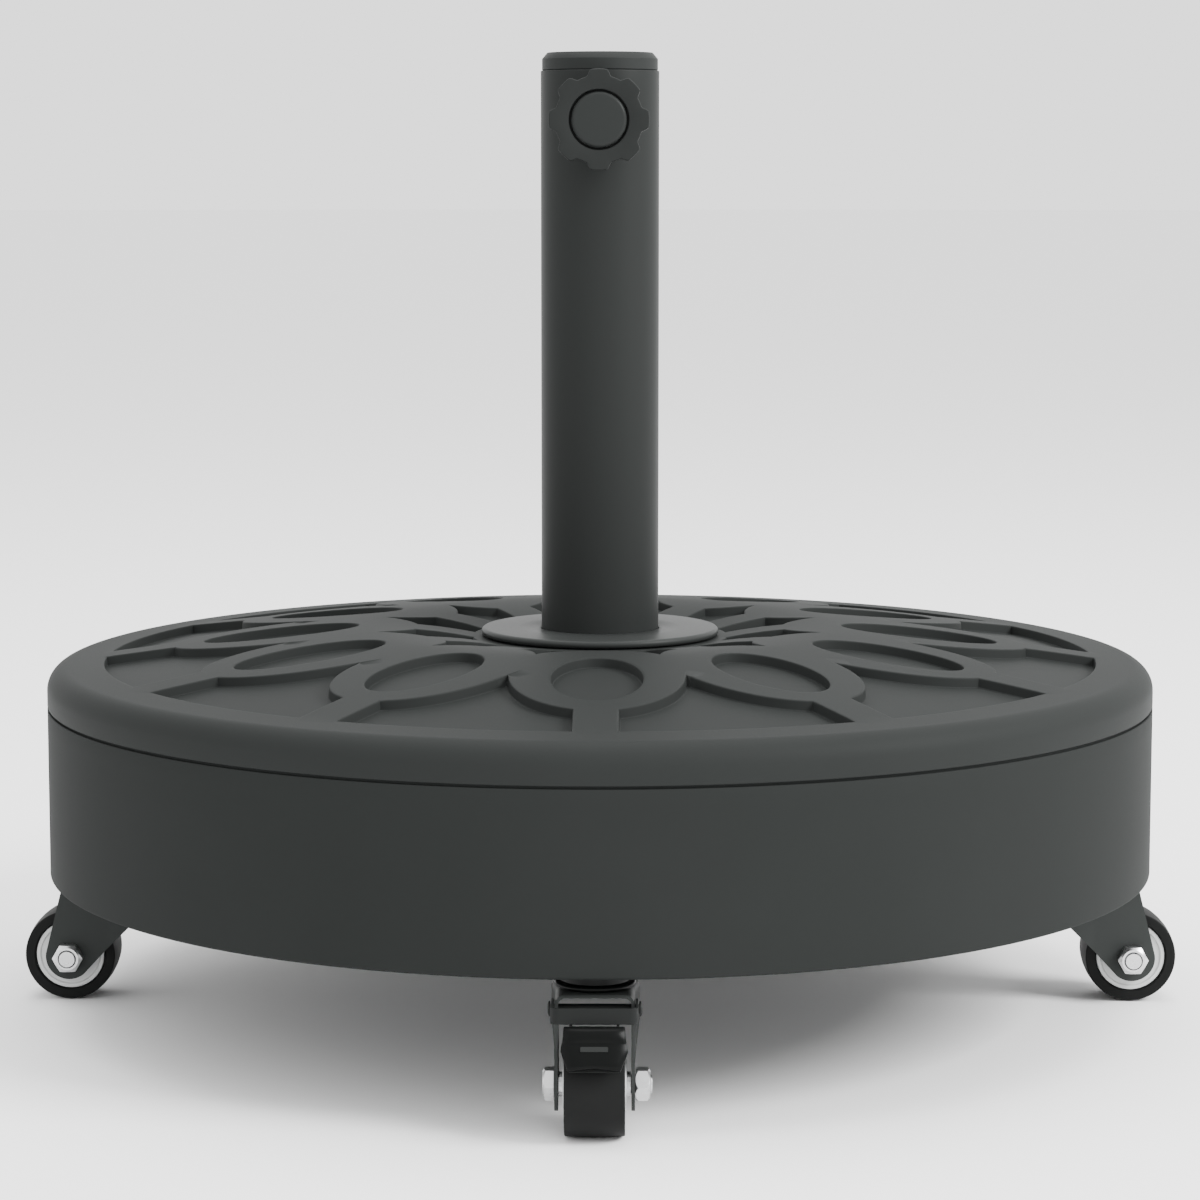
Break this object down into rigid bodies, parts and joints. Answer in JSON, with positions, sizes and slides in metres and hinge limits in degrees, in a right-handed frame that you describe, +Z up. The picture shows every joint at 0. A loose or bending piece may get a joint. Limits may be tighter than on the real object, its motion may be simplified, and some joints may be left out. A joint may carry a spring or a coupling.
{
  "type": "parasol base",
  "caption": "Round wheeled parasol base with a weighted body, domed petal-pattern cover, upright pole tube, clamp knob and swivel castors with foot brakes.",
  "frame": {"origin": "on the floor under the pole tube's axis", "axes": "+Z up along the pole tube, -Y to the front where the clamp knob is, +X to the right seen from the front"},
  "size_m": [0.528, 0.5398, 0.4306],
  "materials": {
    "casing_plastic": "satin moulded anthracite plastic",
    "cover_plastic": "satin moulded anthracite plastic",
    "concrete": "cast concrete",
    "tube_paint": "satin anthracite powder coat",
    "adapter_plastic": "satin anthracite plastic",
    "grip_plastic": "satin anthracite plastic",
    "cap_plastic": "semi-gloss anthracite plastic",
    "zinc": "bright zinc plate",
    "fork_paint": "semi-gloss anthracite paint",
    "lever_paint": "semi-gloss anthracite paint",
    "tyre_rubber": "matt black rubber",
    "hub_plastic": "light grey nylon",
    "shoe_plastic": "glossy black plastic"
  },
  "bodies": {
    "base": {"bottom_casing": "casing_plastic", "concrete_ballast": "concrete", "top_cover": "cover_plastic", "pole_tube": "tube_paint", "tube_collar": "cover_plastic", "tube_foot_plate": "zinc", "foot_washer": "zinc", "foot_bolt": "zinc", "foot_nut": "zinc", "pole_seat": "adapter_plastic", "clamp_boss": "tube_paint", "castor_stem_right": "zinc", "thread_insert_right": "zinc", "castor_race_right": "fork_paint", "castor_stem_back": "zinc", "thread_insert_back": "zinc", "castor_race_back": "fork_paint", "castor_stem_left": "zinc", "thread_insert_left": "zinc", "castor_race_left": "fork_paint", "castor_stem_front": "zinc", "thread_insert_front": "zinc", "castor_race_front": "fork_paint"},
    "adapter": {"adapter_sleeve": "adapter_plastic"},
    "clamp_screw": {"clamp_screw": "zinc", "knob_cap": "cap_plastic"},
    "clamp_knob": {"knob_grip": "grip_plastic"},
    "castor_right": {"castor_fork_right": "fork_paint", "axle_bolt_right": "zinc", "axle_nut_right": "zinc", "axle_sleeve_right": "zinc"},
    "wheel_right": {"wheel_tyre_right": "tyre_rubber", "wheel_hub_right": "hub_plastic"},
    "castor_back": {"castor_fork_back": "fork_paint", "axle_bolt_back": "zinc", "axle_nut_back": "zinc", "axle_sleeve_back": "zinc", "brake_pin_back": "zinc"},
    "wheel_back": {"wheel_tyre_back": "tyre_rubber", "wheel_hub_back": "hub_plastic"},
    "brake_back": {"brake_lever_back": "lever_paint", "brake_shoe_back": "shoe_plastic"},
    "castor_left": {"castor_fork_left": "fork_paint", "axle_bolt_left": "zinc", "axle_nut_left": "zinc", "axle_sleeve_left": "zinc"},
    "wheel_left": {"wheel_tyre_left": "tyre_rubber", "wheel_hub_left": "hub_plastic"},
    "castor_front": {"castor_fork_front": "fork_paint", "axle_bolt_front": "zinc", "axle_nut_front": "zinc", "axle_sleeve_front": "zinc", "brake_pin_front": "zinc"},
    "wheel_front": {"wheel_tyre_front": "tyre_rubber", "wheel_hub_front": "hub_plastic"},
    "brake_front": {"brake_lever_front": "lever_paint", "brake_shoe_front": "shoe_plastic"}
  },
  "joints": [
    {"name": "adapter_lift", "type": "slide", "parent": "base", "child": "adapter", "axis": [0, 0, 1], "range_m": [0, 0.0926]},
    {"name": "clamp_feed", "type": "slide", "parent": "base", "child": "clamp_screw", "axis": [0, 1, 0], "range_m": [0, 0.0062]},
    {"name": "knob_turn", "type": "hinge", "parent": "clamp_screw", "child": "clamp_knob", "pos_m": [0, -0.038, 0.4003], "axis": [0, 1, 0], "range_deg": [0, 1785]},
    {"name": "castor_swivel_right", "type": "hinge", "parent": "base", "child": "castor_right", "pos_m": [0.227, 0, 0.06], "axis": [0, 0, 1], "continuous": true},
    {"name": "wheel_spin_right", "type": "hinge", "parent": "castor_right", "child": "wheel_right", "pos_m": [0.243, 0, 0.021], "axis": [0, 1, 0], "continuous": true},
    {"name": "castor_swivel_back", "type": "hinge", "parent": "base", "child": "castor_back", "pos_m": [0, 0.227, 0.06], "axis": [0, 0, 1], "continuous": true},
    {"name": "wheel_spin_back", "type": "hinge", "parent": "castor_back", "child": "wheel_back", "pos_m": [0, 0.243, 0.021], "axis": [-1, 0, 0], "continuous": true},
    {"name": "brake_press_back", "type": "hinge", "parent": "castor_back", "child": "brake_back", "pos_m": [0, 0.24, 0.0505], "axis": [-1, 0, 0], "range_deg": [0, 7]},
    {"name": "castor_swivel_left", "type": "hinge", "parent": "base", "child": "castor_left", "pos_m": [-0.227, 0, 0.06], "axis": [0, 0, 1], "continuous": true},
    {"name": "wheel_spin_left", "type": "hinge", "parent": "castor_left", "child": "wheel_left", "pos_m": [-0.243, 0, 0.021], "axis": [0, -1, 0], "continuous": true},
    {"name": "castor_swivel_front", "type": "hinge", "parent": "base", "child": "castor_front", "pos_m": [0, -0.227, 0.06], "axis": [0, 0, 1], "continuous": true},
    {"name": "wheel_spin_front", "type": "hinge", "parent": "castor_front", "child": "wheel_front", "pos_m": [0, -0.243, 0.021], "axis": [1, 0, 0], "continuous": true},
    {"name": "brake_press_front", "type": "hinge", "parent": "castor_front", "child": "brake_front", "pos_m": [0, -0.24, 0.0505], "axis": [1, 0, 0], "range_deg": [0, 7]}
  ],
  "couplings": [
    {"joint": "clamp_feed", "follows": "knob_turn", "m_per_rad": 0.00019894}
  ]
}
